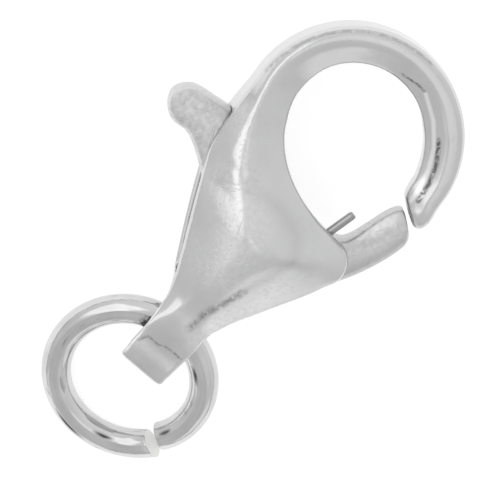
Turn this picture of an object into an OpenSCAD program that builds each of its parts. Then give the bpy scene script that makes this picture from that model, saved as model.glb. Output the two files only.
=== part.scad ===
// Lobster clasp with a sprung lever and a jump ring, lying on its back.
// Millimetres. +X runs to the hook's end, +Y to the thumb tab, +Z up off the surface.
// Plan places below are measured from the middle of the hook, at mid thickness.

/* [Clasp] */
// Length of the casting, from the tail's end to the hook's outer edge
clasp_length = 11.96; // [11.4:0.02:12.6]
// Outer diameter of the hook
hook_d = 6.4; // [6:0.02:6.8]
// Thickness of the hook
hook_t = 1.6; // [1.3:0.05:1.9]
// Diameter of the round opening in the hook
opening_d = 3.94; // [3.6:0.02:4.2]
// How far the opening's middle sits towards the hook's end
opening_shift = 0.21; // [0.1:0.01:0.35]

/* [Body] */
// Thickness of the body at its belly
belly_t = 3.5; // [3.1:0.05:3.7]
// How far the back of the body stands out on the tab's side
spine_reach = 2.85; // [2.7:0.05:3]
// How far the body stands out on the gate's side
flank_reach = 2.44; // [2.3:0.02:2.6]
// How far the body's blunt end lies behind the middle of the hook
lobe_back = 2.33; // [2.2:0.02:2.5]
// Radius of the corner of that blunt end
lobe_round = 0.72; // [0.6:0.02:0.85]
// Height of the slot that the lever swings in
slot_t = 1.2; // [1.1:0.02:1.3]
// Wall between the slot and the body's closed flank, where the gate's heel stops on it
flank_wall = 0.73; // [0.65:0.01:0.82]

/* [Tail] */
// Width of the tail
tail_w = 1.46; // [1.3:0.02:1.6]
// How far the tail's middle line lies to the tab's side of the hook's middle
tail_mid = 0.1; // [0.04:0.01:0.14]
// Thickness of the tail over its eye
tail_t = 1.84; // [1.75:0.02:2.1]
// Length of the eye along the tail
eye_l = 1.65; // [1.4:0.05:1.8]
// Height of the eye
eye_h = 1.36; // [1.35:0.01:1.42]
// Wall between the eye and the tail's end
end_wall = 0.65; // [0.6:0.05:0.75]
// Solid metal between the eye and the slot
slot_web = 0.45; // [0.35:0.05:0.6]

/* [Lever] */
// Clearance on each side of the lever in its slot
lever_gap = 0.04; // [0.03:0.01:0.08]
// Distance of the gate's end from the pivot
gate_reach = 4; // [3.92:0.01:4.06]
// Gap between the gate's end and the hook's tip
gate_gap = 0.08; // [0.06:0.01:0.14]
// Gap between the gate's heel and the flank that stops it
stop_gap = 0.05; // [0.03:0.01:0.1]
// How far the lever swings open, in degrees
lever_swing = 28; // [20:1:30]
// Distance of the pivot behind the middle of the hook
pivot_back = 3.9; // [3.8:0.05:4]
// Distance of the pivot below the middle of the hook, on the gate's side
pivot_side = 0.4; // [0.3:0.05:0.5]
// Distance of the thumb tab's round end behind the middle of the hook
tab_back = 2.27; // [2.2:0.01:2.35]
// Radius of the thumb tab's round end
tab_r = 0.6; // [0.5:0.02:0.7]
// How far the thumb tab reaches past the middle of the hook
tab_reach = 4.52; // [4.2:0.02:4.9]
// Bevel round the lever's faces
lever_bevel = 0.12; // [0.06:0.02:0.18]

/* [Pin and spring] */
// Diameter of the pivot pin
pin_d = 0.6; // [0.5:0.02:0.7]
// Length of the pivot pin
pin_l = 2.3; // [2:0.05:2.5]
// Clearance round the pin where it is pressed in
pin_seat_gap = 0.01; // [0.01:0.005:0.02]
// Clearance round the pin where the lever turns on it
pin_run_gap = 0.03; // [0.02:0.01:0.05]
// Diameter of the spring's wire
wire_d = 0.24; // [0.2:0.01:0.25]
// Radius of the spring's coil at the middle of its wire
coil_r = 0.6; // [0.55:0.01:0.64]
// Length of the spring's straight end that shows in the hook
spring_leg = 2.55; // [2.3:0.05:2.7]

/* [Jump ring] */
// Outer diameter of the jump ring
ring_d = 5.06; // [4.8:0.02:5.4]
// Diameter of its wire
ring_wire = 0.84; // [0.72:0.02:0.84]
// Distance from the tail's end to the wire in the eye
ring_seat = 1.51; // [1.42:0.01:1.6]
// How far the ring sits off the tail's middle line
ring_aside = 0.18; // [0:0.01:0.2]
// Opening between the wire's cut ends
ring_cut = 0.09; // [0.05:0.01:0.2]

/* [Hidden] */
$fn = 96;

function mix(a, b, t) = a + (b - a) * t;
function polar(r, a) = [r * cos(a), r * sin(a)];
function bend(a, b, c, t) = mix(mix(a, b, t), mix(b, c, t), t);
function flat(list) = [for (part = list) for (item = part) item];

// Half sizes, and the places that the pieces share
hook_r = hook_d / 2;
hole_r = opening_d / 2;
hole_mid = [opening_shift, -opening_shift / 5];
hook_half = hook_t / 2;
belly_half = belly_t / 2;
tail_half = tail_t / 2;
tail_x = hook_r - clasp_length;
body_l = -lobe_back - tail_x;
slot_half = slot_t / 2;
lever_half = slot_half - lever_gap;
pivot = [-pivot_back, -pivot_side];
tab_mid = [-tab_back, tab_reach - tab_r];

// The ring hangs in the eye and its far side lies on the surface
ring_r = (ring_d - ring_wire) / 2;
ring_x = tail_x + ring_seat;
ring_y = tail_mid - ring_aside;
ring_tilt = asin((belly_half - ring_wire / 2) / (2 * ring_r));
ring_far = ring_x - 2 * ring_r * cos(ring_tilt) - ring_wire / 2;

// The middle of the whole part in plan, put at the origin
part_mid = [(hook_r + ring_far) / 2, (tab_reach - hook_r) / 2];

module place() {
    translate([-part_mid.x, -part_mid.y, belly_half])
        children();
}

// A closed solid through rings of as many points each
module loft(rings) {
    n = len(rings[0]);
    last = len(rings) - 1;
    polyhedron(
        points = flat(rings),
        faces = concat(
            [[for (j = [n - 1 : -1 : 0]) j]],
            [for (i = [0 : last - 1])
                for (j = [0 : n - 1])
                [i * n + j, i * n + (j + 1) % n, (i + 1) * n + j]],
            [for (i = [0 : last - 1])
                for (j = [0 : n - 1])
                [i * n + (j + 1) % n, (i + 1) * n + (j + 1) % n, (i + 1) * n + j]],
            [[for (j = [0 : n - 1]) last * n + j]]
        )
    );
}

// Casting: steps across a section, from its outer edge to its inner edge
ACROSS = [0, 0.05, 0.15, 0.3, 0.5, 0.7, 0.85, 0.95, 1];
// Shares of the full thickness at those steps
TAIL_SHAPE = [0.96, 1, 1, 1, 1, 1, 1, 1, 0.96];
BELLY_SHAPE = [0.51, 0.63, 0.82, 1, 1, 1, 0.93, 0.7, 0.51];
HOOK_SHAPE = [0.45, 0.63, 0.88, 0.99, 1, 0.99, 0.88, 0.63, 0.45];

// A section is [outer point, inner point, half thickness, shape]
function section_ring(s) = concat(
    [for (j = [0 : len(ACROSS) - 1])
        let (p = mix(s[0], s[1], ACROSS[j]))
        [p.x, p.y, -s[2] * s[3][j]]],
    [for (j = [len(ACROSS) - 1 : -1 : 0])
        let (p = mix(s[0], s[1], ACROSS[j]))
        [p.x, p.y, s[2] * s[3][j]]]
);

// Tail and body. Share of the way from the tail's end to the blunt end, shares of
// the way out from the tail's sides to the spine's and the flank's reach, share of
// the way from the tail's thickness to the belly's, share of the belly's shape
BODY_ROWS = [
    [0, 0, 0, -0.72, 0],
    [0.02, 0, 0.01, -0.58, 0],
    [0.045, 0, 0.01, -0.42, 0],
    [0.08, 0.01, 0.02, -0.24, 0],
    [0.125, 0.01, 0.03, -0.01, 0],
    [0.21, 0.02, 0.05, 0.1, 0.1],
    [0.285, 0.04, 0.06, 0.08, 0.2],
    [0.35, 0.07, 0.12, 0.12, 0.4],
    [0.41, 0.145, 0.2, 0.26, 0.6],
    [0.505, 0.29, 0.365, 0.56, 0.8],
    [0.595, 0.435, 0.525, 0.78, 1],
    [0.69, 0.594, 0.7, 0.93, 1],
    [0.77, 0.723, 0.838, 1, 1],
    [0.82, 0.8, 0.912, 1, 1]
];

function body_section(row) =
    let (
        x = tail_x + row[0] * body_l,
        spine = mix(tail_mid + tail_w / 2, spine_reach, row[1]),
        flank = mix(tail_mid - tail_w / 2, -flank_reach, row[2])
    )
    [[x, spine], [x, flank], mix(tail_half, belly_half, row[3]),
        mix(TAIL_SHAPE, BELLY_SHAPE, row[4])];

// The blunt end's corner turns round this middle, between these angles
lobe_mid = [-lobe_back - lobe_round, -flank_reach + lobe_round];
lobe_from = -112;
lobe_to = -8;
lobe_steps = 6;

// The shoulder rises from the spine to the hook's outer edge
spine_last = body_section(BODY_ROWS[len(BODY_ROWS) - 1])[0];
shoulder_from = [-lobe_back - lobe_round / 2, spine_reach];
shoulder_knee = [-lobe_back + lobe_round * 0.7, mix(spine_reach, hook_r, 0.45)];
shoulder_angle = 100;

function lobe_section(i) =
    let (t = i / (lobe_steps - 1))
    [mix(spine_last, shoulder_from, (i + 1) / (lobe_steps + 1)),
        lobe_mid + polar(lobe_round, mix(lobe_from, lobe_to, t)),
        belly_half, BELLY_SHAPE];

// The face behind the opening runs into the round opening at this angle
root_angle = 130;
root_from = lobe_mid + polar(lobe_round, lobe_to);
root_to = hole_mid + polar(hole_r, root_angle);
root_knee = [-lobe_back, root_to.y - hole_r / 2];
root_steps = 7;
// Share of the hook's thickness where its root starts, and how the belly falls to it
root_thick = 1.36;
ROOT_FALL = [[0, 0], [0.4, 0], [0.7, 0.4], [1, 1]];

function root_section(i) =
    let (t = i / root_steps)
    [bend(shoulder_from, shoulder_knee, hook_edge(shoulder_angle), t),
        bend(root_from, root_knee, root_to, t),
        mix(belly_half, hook_half * root_thick, lookup(t, ROOT_FALL)),
        mix(BELLY_SHAPE, HOOK_SHAPE, t)];

// The hook: share of its sweep against thickness, then angle against the reach of
// its outer edge and of the opening
HOOK_THICKNESS = [[0, root_thick], [0.12, 1.2], [0.25, 1.08], [0.4, 1], [0.8, 1], [1, 0.92]];
HOOK_REACH = [[-88, 1], [30, 1], [100, 0.982]];
OPENING_REACH = [[-86, 1.08], [-70, 1.01], [-45, 0.955], [0, 0.965], [60, 1.015], [100, 1], [130, 0.98]];
hook_steps = 20;
hook_end = -88;
opening_end = -86;

function hook_edge(a) = polar(hook_r * lookup(a, HOOK_REACH), a);

function hook_section(i) =
    let (
        t = i / hook_steps,
        inner = mix(root_angle, opening_end, t)
    )
    [hook_edge(mix(shoulder_angle, hook_end, t)),
        hole_mid + polar(hole_r * lookup(inner, OPENING_REACH), inner),
        hook_half * lookup(t, HOOK_THICKNESS), HOOK_SHAPE];

// The hook's tip ends on an arc round the pivot, just clear of the gate's end.
// Outer edge's share of the hook's thickness beyond that arc and its angle at the
// pivot, the same for the inner edge, share of the hook's thickness
TIP_ROWS = [
    [0.27, -39.8, 0.2, -24.2, 0.88],
    [0.13, -41, 0.1, -25.8, 0.82],
    [0.01, -40, 0, -28, 0.64]
];
tip_reach = gate_reach + gate_gap;

function tip_section(row) =
    [pivot + polar(tip_reach + hook_t * row[0], row[1]),
        pivot + polar(tip_reach + hook_t * row[2], row[3]),
        hook_half * row[4], HOOK_SHAPE];

CLAW_SECTIONS = concat(
    [for (row = BODY_ROWS) body_section(row)],
    [for (i = [0 : lobe_steps - 1]) lobe_section(i)],
    [for (i = [1 : root_steps]) root_section(i)],
    [for (i = [1 : hook_steps]) hook_section(i)],
    [for (row = TIP_ROWS) tip_section(row)]
);

// Thumb arm. Share of the way from the pivot to the tab's middle, along the tab,
// then where the back edge and the front edge lie across, on the same scale
ARM_ROWS = [
    [0.914, 0.65, 1.4],
    [0.819, 0.55, 1.43],
    [0.727, 0.4, 1.43],
    [0.62, 0.202, 1.36],
    [0.498, -0.05, 1.18],
    [0.347, -0.307, 0.91],
    [0.185, -0.479, 0.64],
    [0.023, -0.552, 0.52],
    [-0.104, -0.442, 0.56],
    [-0.174, -0.215, 0.66],
    [-0.232, 0.061, 0.8],
    [-0.282, 0.307, 0.93]
];

function arm_point(along, across) =
    [mix(pivot.x, tab_mid.x, across), mix(pivot.y, tab_mid.y, along)];

// Gate. Outer edge's share of the gate's reach from the pivot and its angle there,
// the same for the inner edge, share of the lever's thickness
GATE_ROWS = [
    [0.525, -75, 0.561, -40.8, 1],
    [0.587, -70.2, 0.618, -39.4, 0.98],
    [0.68, -63, 0.679, -37.3, 0.95],
    [0.765, -57.6, 0.741, -35.5, 0.93],
    [0.854, -52.9, 0.814, -33.5, 0.92],
    [0.923, -49.5, 0.876, -32.3, 0.92],
    [0.969, -47, 0.933, -31.8, 0.92],
    [0.991, -44.8, 0.975, -32, 0.9],
    [1, -42, 0.998, -33.2, 0.88]
];

function gate_point(share, angle) = pivot + polar(gate_reach * share, angle);

// The slot between the two plates: solid at the tail, closed along the flank as
// far as the gate's heel, open at the blunt end and along the spine
slot_tail = tail_x + end_wall + eye_l + slot_web;
slot_side = tail_mid - tail_w * 0.4;
slot_heel = gate_point(GATE_ROWS[0][0], GATE_ROWS[0][1]).x - stop_gap;
// Room before the arm's front edge, for the rows of the arm beside that wall
wall_room = 0.1;
wall_rows = [6, 5, 4, 3];
FRONT_WALL = [for (i = wall_rows) arm_point(ARM_ROWS[i][0], ARM_ROWS[i][2]) + [wall_room, 0]];
shoulder_wall = FRONT_WALL[len(FRONT_WALL) - 1].x + wall_room;
// Room round the pivot, and the wall that the swung gate comes up to
hub_room = pin_d * 2;
swing_room = 12;
mouth_angle = GATE_ROWS[0][3] + lever_swing + swing_room;
mouth = gate_point(0.55, mouth_angle);
// Far enough out to cut through every edge
beyond = 2 * hook_r;

SLOT = concat(
    [[slot_tail, beyond],
        [slot_tail, slot_side],
        [slot_heel, -flank_reach + flank_wall],
        [slot_heel, -beyond],
        [mouth.x, -beyond],
        mouth],
    [for (a = [mouth_angle, mouth_angle + 10, mouth_angle + 20]) pivot + polar(hub_room, a)],
    FRONT_WALL,
    [[shoulder_wall, spine_reach],
        [shoulder_wall, beyond]]
);

module slot() {
    translate([0, 0, -slot_half])
        linear_extrude(slot_t)
        polygon(SLOT);
}

// The eye lies across the tail, with rounded ends
eye_round = 0.25;

module eye() {
    x0 = tail_x + end_wall + eye_round;
    x1 = tail_x + end_wall + eye_l - eye_round;
    z1 = eye_h / 2 - eye_round;
    rotate([90, 0, 0])
        translate([0, 0, -2 * tail_w])
        linear_extrude(4 * tail_w)
        polygon(flat([
            for (c = [[x1, z1, 0], [x0, z1, 90], [x0, -z1, 180], [x1, -z1, 270]])
            [for (a = [0 : 15 : 90]) [c.x, c.y] + polar(eye_round, c.z + a)]
        ]));
}

module pin_bore(gap, length) {
    translate([pivot.x, pivot.y, -length / 2])
        cylinder(d = pin_d + 2 * gap, h = length);
}

module claw() {
    color([0.8, 0.8, 0.8])
        place()
        difference() {
            loft([for (s = CLAW_SECTIONS) section_ring(s)]);
            slot();
            eye();
            pin_bore(pin_seat_gap, pin_l);
        }
}

// The spring's coil sits round the pin, over a thin web of the lever
web_t = lever_half * 0.6;
coil_play = 0.015;
coil_turns = 2;
coil_low = -lever_half + web_t + wire_d / 2 + coil_play;
coil_high = coil_low + coil_turns * (wire_d + coil_play);
// Where round the pin the held leg leaves the coil, and the leg that shows
held_angle = -103;
shown_angle = -102.4;
held_leg = 1.15;

// Room in the lever for the coil, and a groove for the leg that shows
module spring_room() {
    translate([pivot.x, pivot.y, -lever_half + web_t])
        cylinder(r = coil_r + wire_d * 2.2, h = slot_t);
    translate([pivot.x, pivot.y, coil_high - wire_d / 2 - coil_play])
        rotate([0, 0, shown_angle])
        translate([coil_r - wire_d / 2 - coil_play, 0, 0])
        cube([wire_d + 2 * coil_play, spring_leg, slot_t]);
}

// The thumb tab's round end, by angle from its middle line
TAB_ARC = [84, 60, 35, 10];

// Lever sections are [back point, front point, share of its thickness]
LEVER_SECTIONS = concat(
    [for (a = TAB_ARC) [tab_mid + polar(tab_r, 180 - a), tab_mid + polar(tab_r, a), 1]],
    [for (row = ARM_ROWS) [arm_point(row[0], row[1]), arm_point(row[0], row[2]), 1]],
    [for (row = GATE_ROWS) [gate_point(row[0], row[1]), gate_point(row[2], row[3]), row[4]]]
);

// Each lever section is bevelled by the same length on both edges
function lever_ring(s, inset) =
    let (
        wide = norm(s[1] - s[0]),
        b = min(lever_bevel, wide / 3) / wide,
        z = lever_half * s[2] - inset,
        low = z - lever_bevel
    )
    [for (p = [[0, low], [b, z], [1 - b, z], [1, low], [1, -low], [1 - b, -z], [b, -z], [0, -low]])
        let (q = mix(s[0], s[1], p.x))
        [q.x, q.y, p.y]];

module lever() {
    last = len(LEVER_SECTIONS) - 1;
    color([0.78, 0.78, 0.78])
        place()
        difference() {
            loft([for (i = [0 : last])
                lever_ring(LEVER_SECTIONS[i], i == 0 || i == last ? lever_bevel : 0)]);
            pin_bore(pin_run_gap, 2 * slot_t);
            spring_room();
        }
}

module pivot_pin() {
    color([0.7, 0.7, 0.7])
        place()
        translate([pivot.x, pivot.y, -pin_l / 2])
        cylinder(d = pin_d, h = pin_l);
}

// The spring: a leg held against the flank's wall, the coil, and the leg that shows
coil_rings = 36;
wire_sides = 8;

function coil_point(a, z) = [pivot.x + coil_r * cos(a), pivot.y + coil_r * sin(a), z];
function coil_way(a) = [-sin(a), cos(a), 0];

SPRING_PATH = concat(
    [for (t = [1, 0.5]) coil_point(held_angle, coil_low) - held_leg * t * coil_way(held_angle)],
    [for (i = [0 : coil_rings])
        let (t = i / coil_rings)
        coil_point(mix(held_angle, shown_angle + 360 * coil_turns, t), mix(coil_low, coil_high, t))],
    [for (t = [0.5, 1]) coil_point(shown_angle, coil_high) + spring_leg * t * coil_way(shown_angle)]
);

function wire_ring(path, i) =
    let (
        ahead = path[min(i + 1, len(path) - 1)] - path[max(i - 1, 0)],
        side = cross([0, 0, 1], ahead) / norm(cross([0, 0, 1], ahead)),
        up = cross(ahead, side) / norm(cross(ahead, side))
    )
    [for (k = [0 : wire_sides - 1])
        let (p = polar(wire_d / 2, -k * 360 / wire_sides))
        path[i] + p.x * side + p.y * up];

module spring() {
    color([0.6, 0.6, 0.62])
        place()
        loft([for (i = [0 : len(SPRING_PATH) - 1]) wire_ring(SPRING_PATH, i)]);
}

// The ring's cut faces the gate's side of the clasp
cut_at = -116;

module jump_ring() {
    cut_angle = 2 * asin(ring_cut / 2 / ring_r);
    color([0.8, 0.8, 0.8])
        place()
        translate([ring_x, ring_y, 0])
        rotate([0, -ring_tilt, 0])
        translate([-ring_r, 0, 0])
        rotate([0, 0, cut_at + cut_angle / 2])
        rotate_extrude(angle = 360 - cut_angle)
        translate([ring_r, 0])
        circle(d = ring_wire);
}

claw();
lever();
pivot_pin();
spring();
jump_ring();
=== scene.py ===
"""Lobster clasp with a sprung lever and a jump ring: the finished look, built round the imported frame.

Plan places are in millimetres from the middle of the hook, at mid thickness, as in the part's source.
"""

import math

import bmesh
import bpy
from bpy.props import FloatProperty, FloatVectorProperty, PointerProperty
from bpy.types import Operator, Panel, PropertyGroup
from mathutils import Matrix, Vector
from mathutils.kdtree import KDTree

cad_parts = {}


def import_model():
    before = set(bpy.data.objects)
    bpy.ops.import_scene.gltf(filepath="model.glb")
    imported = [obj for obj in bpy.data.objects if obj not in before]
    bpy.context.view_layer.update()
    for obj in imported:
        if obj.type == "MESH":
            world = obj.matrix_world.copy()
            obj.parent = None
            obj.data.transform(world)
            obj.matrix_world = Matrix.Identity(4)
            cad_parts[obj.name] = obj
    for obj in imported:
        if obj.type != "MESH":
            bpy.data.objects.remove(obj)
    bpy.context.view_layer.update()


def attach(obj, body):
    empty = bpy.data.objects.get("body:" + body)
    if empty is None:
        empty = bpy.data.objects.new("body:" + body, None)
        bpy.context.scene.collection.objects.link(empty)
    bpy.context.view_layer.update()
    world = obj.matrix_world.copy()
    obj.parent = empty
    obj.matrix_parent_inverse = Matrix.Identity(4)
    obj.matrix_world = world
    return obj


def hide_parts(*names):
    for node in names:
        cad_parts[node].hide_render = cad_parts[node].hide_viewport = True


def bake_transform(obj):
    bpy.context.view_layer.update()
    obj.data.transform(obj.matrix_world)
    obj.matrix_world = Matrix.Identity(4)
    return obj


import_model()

bl_info = {
    "name": "Lobster clasp",
    "version": (1, 0, 0),
    "blender": (4, 5, 0),
    "location": "View3D > Sidebar > Clasp",
    "description": "Models a cast lobster clasp with its lever, spring and jump ring",
    "category": "Add Mesh",
}

MM = 0.001
SILVER_SLOT = "silver"
STEEL_SLOT = "spring_steel"

# Sizes, in millimetres

CLASP_LENGTH = 11.96
HOOK_R = 3.2
HOOK_HALF = 0.8
HOLE_R = 1.97
HOLE_MID = Vector((0.21, -0.042))
BELLY_HALF = 1.75
SPINE_REACH = 2.85
FLANK_REACH = 2.44
LOBE_BACK = 2.33
LOBE_ROUND = 0.72
SLOT_HALF = 0.6
FLANK_WALL = 0.73
TAIL_W = 1.46
TAIL_MID = 0.1
TAIL_HALF = 0.92
EYE_L = 1.65
EYE_H = 1.36
END_WALL = 0.65
SLOT_WEB = 0.45
LEVER_HALF = 0.56
GATE_REACH = 4.0
GATE_GAP = 0.08
STOP_GAP = 0.05
LEVER_SWING = 28
PIVOT = Vector((-3.9, -0.4))
TAB_R = 0.6
TAB_MID = Vector((-2.27, 3.92))
PIN_D = 0.6
PIN_L = 2.3
WIRE_D = 0.24
COIL_R = 0.6
SPRING_LEG = 2.55
RING_D = 5.06
RING_WIRE = 0.84
RING_SEAT = 1.51
RING_ASIDE = 0.18
# Where the ring is cut, in degrees round it, and how sharply its two ends turn out of line
CUT_AT = -117.9
END_SPRING = 16
# Dark gouges in the wire: place round it from 0 to 1, half length, degrees out from the
# flat, and their half width in degrees
GOUGES = [(0.807, 0.05, 27), (0.882, 0.03, -28), (0.22, 0.03, -22), (0.03, 0.02, -30)]
GOUGE_HALF = 9
# How far outside its flat the painted highlight along the rim lies, and its half width, in degrees
RIM_HIGHLIGHT_OUT, RIM_HIGHLIGHT_HALF = 3, 4
# Share of the way round along which the slanted end is cut back, the broken edge of both
# ends, and the slack for points that belong to the wire's start
END_RAMP, END_EDGE, START_SLACK = 0.05, 0.03, 0.001

TAIL_X = HOOK_R - CLASP_LENGTH
BODY_L = -LOBE_BACK - TAIL_X
RING_R = (RING_D - RING_WIRE) / 2
RING_AT = Vector((TAIL_X + RING_SEAT, TAIL_MID - RING_ASIDE))
RING_TILT = math.asin((BELLY_HALF - RING_WIRE / 2) / (2 * RING_R))
RING_FAR = RING_AT.x - 2 * RING_R * math.cos(RING_TILT) - RING_WIRE / 2
PART_MID = Vector(((HOOK_R + RING_FAR) / 2, (TAB_MID.y + TAB_R - HOOK_R) / 2))

# How finely the forms are drawn: spacing of the sections, steps along and round, and sides
CLAW_STEP, LEVER_STEP = 0.13, 0.1
EDGE_STEPS, COIL_STEPS, RING_STEPS = 10, 96, 180
BAR_SIDES, WIRE_SIDES, RING_SIDES = 64, 24, 60
# Points nearer than this, in metres, are one point, and no two sections are nearer than
# this, in millimetres
SAME_PLACE, LEAST_GAP = 1e-8, 1e-4


def world(x, y, z):
    """A place in the part's plan, in metres in the frame."""
    return Vector((x - PART_MID.x, y - PART_MID.y, z + BELLY_HALF)) * MM


def plan_ring(outline, z):
    """A plan outline, as places at one height."""
    return [world(x, y, z) for x, y in outline]


def mix(a, b, t):
    return a + (b - a) * t


def polar(r, degrees):
    a = math.radians(degrees)
    return Vector((r * math.cos(a), r * math.sin(a)))


def lookup(t, table):
    """Straight-line value between the rows of a table."""
    if t <= table[0][0]:
        return table[0][1]
    for (t0, v0), (t1, v1) in zip(table, table[1:]):
        if t <= t1:
            return mix(v0, v1, (t - t0) / (t1 - t0))
    return table[-1][1]


def hermite(t, gap, start, end, slope_in, slope_out):
    """A cubic at t, from 0 to 1 over a gap, with these values and slopes at its ends."""
    return (
        (2 * t**3 - 3 * t**2 + 1) * start
        + (t**3 - 2 * t**2 + t) * gap * slope_in
        + (-2 * t**3 + 3 * t**2) * end
        + (t**3 - t**2) * gap * slope_out
    )


def monotone(points, wanted):
    """Values of a smooth curve through the points that never overshoots them."""
    xs, ys = zip(*points)
    rises = [(y1 - y0) / (x1 - x0) for x0, x1, y0, y1 in zip(xs, xs[1:], ys, ys[1:])]
    between = [0 if a * b <= 0 else 2 * a * b / (a + b) for a, b in zip(rises, rises[1:])]
    slopes = [rises[0], *between, rises[-1]]
    made = []
    for x in wanted:
        i = max(k for k in range(len(xs) - 1) if xs[k] <= x or k == 0)
        gap = xs[i + 1] - xs[i]
        made.append(hermite((x - xs[i]) / gap, gap, *ys[i:i + 2], *slopes[i:i + 2]))
    return made


def through(rows, step):
    """A smooth run of rows through the given ones, about step apart.

    Each row is a flat list of numbers, whose first four are two plan points.
    """
    gaps = []
    for a, b in zip(rows, rows[1:]):
        outer = math.hypot(b[0] - a[0], b[1] - a[1])
        inner = math.hypot(b[2] - a[2], b[3] - a[3])
        gaps.append(max((outer + inner) / 2, LEAST_GAP))
    slopes = [[(q - p) / gaps[0] for p, q in zip(rows[0], rows[1])]]
    for a, b, c, before, after in zip(rows, rows[1:], rows[2:], gaps, gaps[1:]):
        slopes.append([
            ((q - p) / before * after + (r - q) / after * before) / (before + after)
            for p, q, r in zip(a, b, c)
        ])
    slopes.append([(q - p) / gaps[-1] for p, q in zip(rows[-2], rows[-1])])
    made = []
    for i, gap in enumerate(gaps):
        count = max(1, math.ceil(gap / step))
        ends = list(zip(rows[i], rows[i + 1], slopes[i], slopes[i + 1]))
        made += [[hermite(k / count, gap, *end) for end in ends] for k in range(count)]
    return made + [list(rows[-1])]


# Modelling tools


def start_clean():
    """Object mode with nothing selected."""
    if bpy.context.object and bpy.context.object.mode != "OBJECT":
        bpy.ops.object.mode_set(mode="OBJECT")
    bpy.ops.object.select_all(action="DESELECT")


def only(obj):
    start_clean()
    obj.select_set(True)
    bpy.context.view_layer.objects.active = obj


def named(name):
    """The object just added, under this name."""
    obj = bpy.context.object
    obj.name = obj.data.name = name
    return obj


def edit_all():
    """Edit mode with the whole mesh selected."""
    bpy.ops.object.mode_set(mode="EDIT")
    bpy.ops.mesh.select_all(action="SELECT")


def apply_all(obj, *modifiers):
    """Applies the given modifiers, or all that the object has."""
    only(obj)
    for modifier in modifiers or list(obj.modifiers):
        bpy.ops.object.modifier_apply(modifier=modifier.name)


def settle(obj):
    """The object's place goes into its mesh, and its faces are turned outwards."""
    only(obj)
    bpy.ops.object.transform_apply(location=True, rotation=True, scale=True)
    edit_all()
    bpy.ops.mesh.remove_doubles(threshold=SAME_PLACE)
    bpy.ops.mesh.normals_make_consistent(inside=False)
    bpy.ops.object.mode_set(mode="OBJECT")
    return obj


def rounded(place):
    """A place that can be looked up: the same for points of the mesh that coincide."""
    return tuple(round(c / (10 * SAME_PLACE)) for c in place)


def draw_out(name, rings):
    """A closed form: a circle set to the first ring and extruded from ring to ring."""
    start_clean()
    bpy.ops.mesh.primitive_circle_add(
        vertices=len(rings[0]), radius=MM, fill_type="NOTHING",
        location=sum(rings[0], Vector()) / len(rings[0]),
    )
    obj = named(name)
    bpy.ops.object.transform_apply(location=True, rotation=False, scale=False)
    edit_all()
    mesh = bmesh.from_edit_mesh(obj.data)
    for vert, place in zip(mesh.verts, rings[0]):
        vert.co = place
    bmesh.update_edit_mesh(obj.data)
    for before, after in zip(rings, rings[1:]):
        bpy.ops.mesh.extrude_region_move(TRANSFORM_OT_translate={"value": (0, 0, 0)})
        mesh = bmesh.from_edit_mesh(obj.data)
        places = {rounded(p): q for p, q in zip(before, after)}
        for vert in mesh.verts:
            if vert.select:
                vert.co = places[rounded(vert.co)]
        bmesh.update_edit_mesh(obj.data)
    bpy.ops.mesh.edge_face_add()
    bpy.ops.mesh.select_all(action="DESELECT")
    bpy.ops.mesh.select_non_manifold(extend=False)
    bpy.ops.mesh.edge_face_add()
    return settle(obj)


def subdivide(obj):
    """Smooths the drawn form by one subdivision."""
    modifier = obj.modifiers.new("Smooth form", "SUBSURF")
    modifier.levels = 1
    apply_all(obj, modifier)


def cut(obj, cutter):
    """Takes the cutter's solid out of the object and deletes the cutter."""
    modifier = obj.modifiers.new("Cut", "BOOLEAN")
    modifier.operation = "DIFFERENCE"
    modifier.solver = "EXACT"
    modifier.object = cutter
    apply_all(obj, modifier)
    start_clean()
    cutter.select_set(True)
    bpy.ops.object.delete()


def soften(obj, grain, passes):
    """One even skin over the whole casting, with its cut edges just broken."""
    skin = obj.modifiers.new("Skin", "REMESH")
    skin.mode = "VOXEL"
    skin.voxel_size = grain
    skin.use_smooth_shade = True
    relax = obj.modifiers.new("Relax", "SMOOTH")
    relax.iterations = passes
    apply_all(obj)


def pivot_bar(name, radius, length, height=0):
    """An upright cylinder on the pivot, with its middle at this height."""
    start_clean()
    bpy.ops.mesh.primitive_cylinder_add(
        vertices=BAR_SIDES, radius=radius * MM, depth=length * MM,
        location=world(PIVOT.x, PIVOT.y, height),
    )
    return named(name)


def bevel_where(obj, kind, wanted, width, segments):
    """Rounds over the edges, or the faces' rims, that a rule picks from the mesh being edited."""
    bpy.context.tool_settings.mesh_select_mode = (False, kind == "edges", kind == "faces")
    bpy.ops.mesh.select_all(action="DESELECT")
    mesh = bmesh.from_edit_mesh(obj.data)
    for part in getattr(mesh, kind):
        part.select_set(wanted(part))
    bmesh.update_edit_mesh(obj.data)
    bpy.ops.mesh.bevel(offset=width, segments=segments, affect="EDGES")
    bpy.context.tool_settings.mesh_select_mode = (True, False, False)
    return settle(obj)


def smooth_under(obj, degrees):
    """Smooth shading over edges that bend by less than this angle."""
    only(obj)
    bpy.ops.object.shade_smooth_by_angle(angle=math.radians(degrees))


def point_tree(points):
    """A tree that finds the nearest of the points and its number."""
    tree = KDTree(len(points))
    for i, point in enumerate(points):
        tree.insert(point, i)
    tree.balance()
    return tree


# The casting

# Places across a section from its outer to its inner edge, and its lower face's depth there
ACROSS = [0, 0.05, 0.15, 0.3, 0.5, 0.7, 0.85, 0.95, 1]
TAIL_SHAPE = [0.96, 1, 1, 1, 1, 1, 1, 1, 0.96]
BELLY_SHAPE = [0.51, 0.63, 0.82, 1, 1, 1, 0.9, 0.68, 0.51]
HOOK_SHAPE = [0.45, 0.63, 0.88, 0.99, 1, 0.99, 0.84, 0.54, 0.34]
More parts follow.
